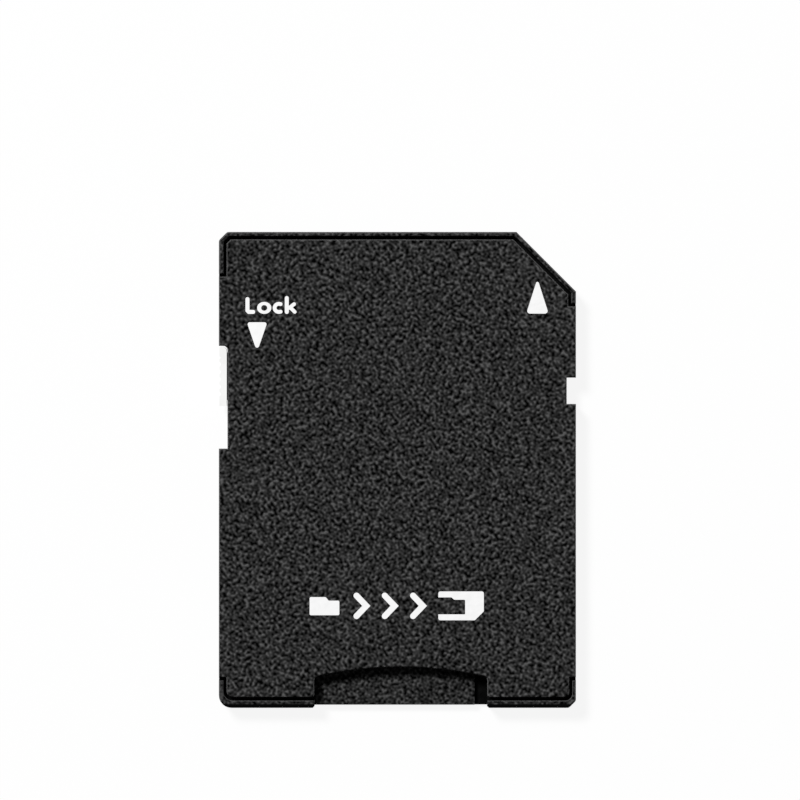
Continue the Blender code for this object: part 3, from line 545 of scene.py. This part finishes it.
def picture_of_use(level):
    """The small card, the chevrons, and the full-size card with its slot."""
    small = rounded(small_card(**SMALL_CARD), SMALL_CARD_ROUND)
    full = rounded(full_card(**FULL_CARD), FULL_CARD_ROUND)
    slot = rounded(small_card(**SLOT), SLOT_ROUND)
    made = [plate("print_small_card", [small], [], level), plate("print_full_card", [full], [slot], level)]
    for i in range(CHEVRONS):
        back = CHEVRON_START + i * CHEVRON_PITCH
        chevron = [
            (back, CHEVRON_MIDDLE + CHEVRON_HALF_HEIGHT),
            (back + CHEVRON_DEPTH, CHEVRON_MIDDLE),
            (back, CHEVRON_MIDDLE - CHEVRON_HALF_HEIGHT),
        ]
        made.append(plate(f"print_chevron_{i + 1}", [line_outline(chevron, CHEVRON_STROKE)], [], level))
    return made


def prints(level):
    """All the print on a face at that level in millimetres."""
    return [
        lock_word(level),
        arrow("print_lock_arrow", level, **LOCK_ARROW),
        arrow("print_way_in_arrow", level, **WAY_IN_ARROW),
        *picture_of_use(level),
    ]


# Stage


def lamp(name, direction, distance, width, level):
    """A square lamp facing the card, with the power that lights a white level sheet to that level."""
    data = bpy.data.lights.new(name, "AREA")
    data.shape = "SQUARE"
    data.size = width
    way = Vector(direction).normalized()
    data.energy = level * math.pi**2 * distance**2 / abs(way.z)
    made = bpy.data.objects.new(name, data)
    made.location = way * distance
    made.rotation_euler = way.to_track_quat("Z", "Y").to_euler()
    bpy.context.scene.collection.objects.link(made)


def floor():
    half = FLOOR_WIDTH / 2
    mesh = bpy.data.meshes.new("floor")
    corners = [(-half, -half), (half, -half), (half, half), (-half, half)]
    mesh.from_pydata([(x, y, -FLOOR_GAP) for x, y in corners], [], [(0, 1, 2, 3)])
    mesh.materials.append(floor_material())
    place_mesh("floor", mesh)


def floor_material():
    """White for what is seen straight or mirrored, with the card's shadow, and clear from below."""
    made = bpy.data.materials.new("pale_floor")
    made.use_nodes = True
    tree = made.node_tree
    tree.nodes.clear()
    path = add(tree, "ShaderNodeLightPath").outputs
    seen = maths(tree, "MAXIMUM", path["Is Camera Ray"], path["Is Glossy Ray"])
    seen = maths(tree, "MAXIMUM", seen, path["Is Transmission Ray"])
    white = add(tree, "ShaderNodeEmission", Strength=WHITE_LEVEL).outputs[0]
    sheet = add(tree, "ShaderNodeBsdfDiffuse", Color=opaque(FLOOR_COLOUR)).outputs[0]
    lifted = blend(tree, maths(tree, "MULTIPLY", seen, FLOOR_WHITENESS), sheet, white)
    # From below and for the lamps the floor is clear, so that the underside can be looked at.
    backfacing = add(tree, "ShaderNodeNewGeometry").outputs["Backfacing"]
    clear = maths(tree, "MAXIMUM", backfacing, path["Is Shadow Ray"])
    surface = blend(tree, clear, lifted, add(tree, "ShaderNodeBsdfTransparent").outputs[0])
    add(tree, "ShaderNodeOutputMaterial", Surface=surface)
    return made


def blend(tree, share, first, second):
    """Two shaders mixed."""
    node = add(tree, "ShaderNodeMixShader", Fac=share)
    for socket, shader in zip(node.inputs[1:], (first, second)):
        feed(tree, socket, shader)
    return node.outputs[0]


def surround():
    """White to the camera, and dim to the card."""
    world = bpy.data.worlds.new("surround")
    bpy.context.scene.world = world
    world.use_nodes = True
    tree = world.node_tree
    tree.nodes.clear()
    path = add(tree, "ShaderNodeLightPath").outputs
    limits = {"To_Min": SURROUND_LEVEL, "To_Max": WHITE_LEVEL}
    level = add(tree, "ShaderNodeMapRange", Value=path["Is Camera Ray"], **limits).outputs["Result"]
    back = add(tree, "ShaderNodeBackground", Strength=level, Color=opaque(1.0))
    add(tree, "ShaderNodeOutputWorld", Surface=back.outputs[0])


def camera(target_level):
    data = bpy.data.cameras.new("camera")
    data.lens = LENS_MM
    data.sensor_width = SENSOR_MM
    data.clip_start = CLIP_NEAR
    data.clip_end = CLIP_FAR
    middle = IMAGE_WIDTH_PX / 2
    width = IMAGE_WIDTH_PX / PX_PER_MM * MM
    x = (middle - CARD_CENTRE_PX[0]) / PX_PER_MM * MM
    y = (CARD_CENTRE_PX[1] - middle) / PX_PER_MM * MM
    made = bpy.data.objects.new("camera", data)
    made.location = (x, y, target_level + width * LENS_MM / SENSOR_MM)
    bpy.context.scene.collection.objects.link(made)
    bpy.context.scene.camera = made


def dress(name, mat):
    obj = NODES[name]
    obj.data.materials.clear()
    obj.data.materials.append(mat)


def main():
    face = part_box("top_shell")[1].z
    camera(face)
    lamp("key", **KEY_LAMP)
    lamp("under", **UNDER_LAMP)
    surround()
    floor()

    dress("top_shell", moulded_black("label_side_black", **LABEL_GRAIN))
    contact_side = moulded_black("contact_side_black", **CONTACT_GRAIN, polished_shaded_heights=POLISHED_SHADED_HEIGHTS)
    dress("bottom_shell", contact_side)
    dress("lock_slider", plain_white("white_moulding", **SLIDER_WHITE))
    gold = strip_metal("gold_strip", **GOLD)
    for name in CONTACTS:
        dress(name, gold)
    dress("card_retention_spring", strip_metal("steel_strip", **STEEL))

    white = plain_white("white_ink", **INK_WHITE)
    for piece in prints(face / MM):
        piece.data.materials.append(white)
        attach(piece, "housing")


main()

bpy.context.scene.view_settings.view_transform = "Standard"
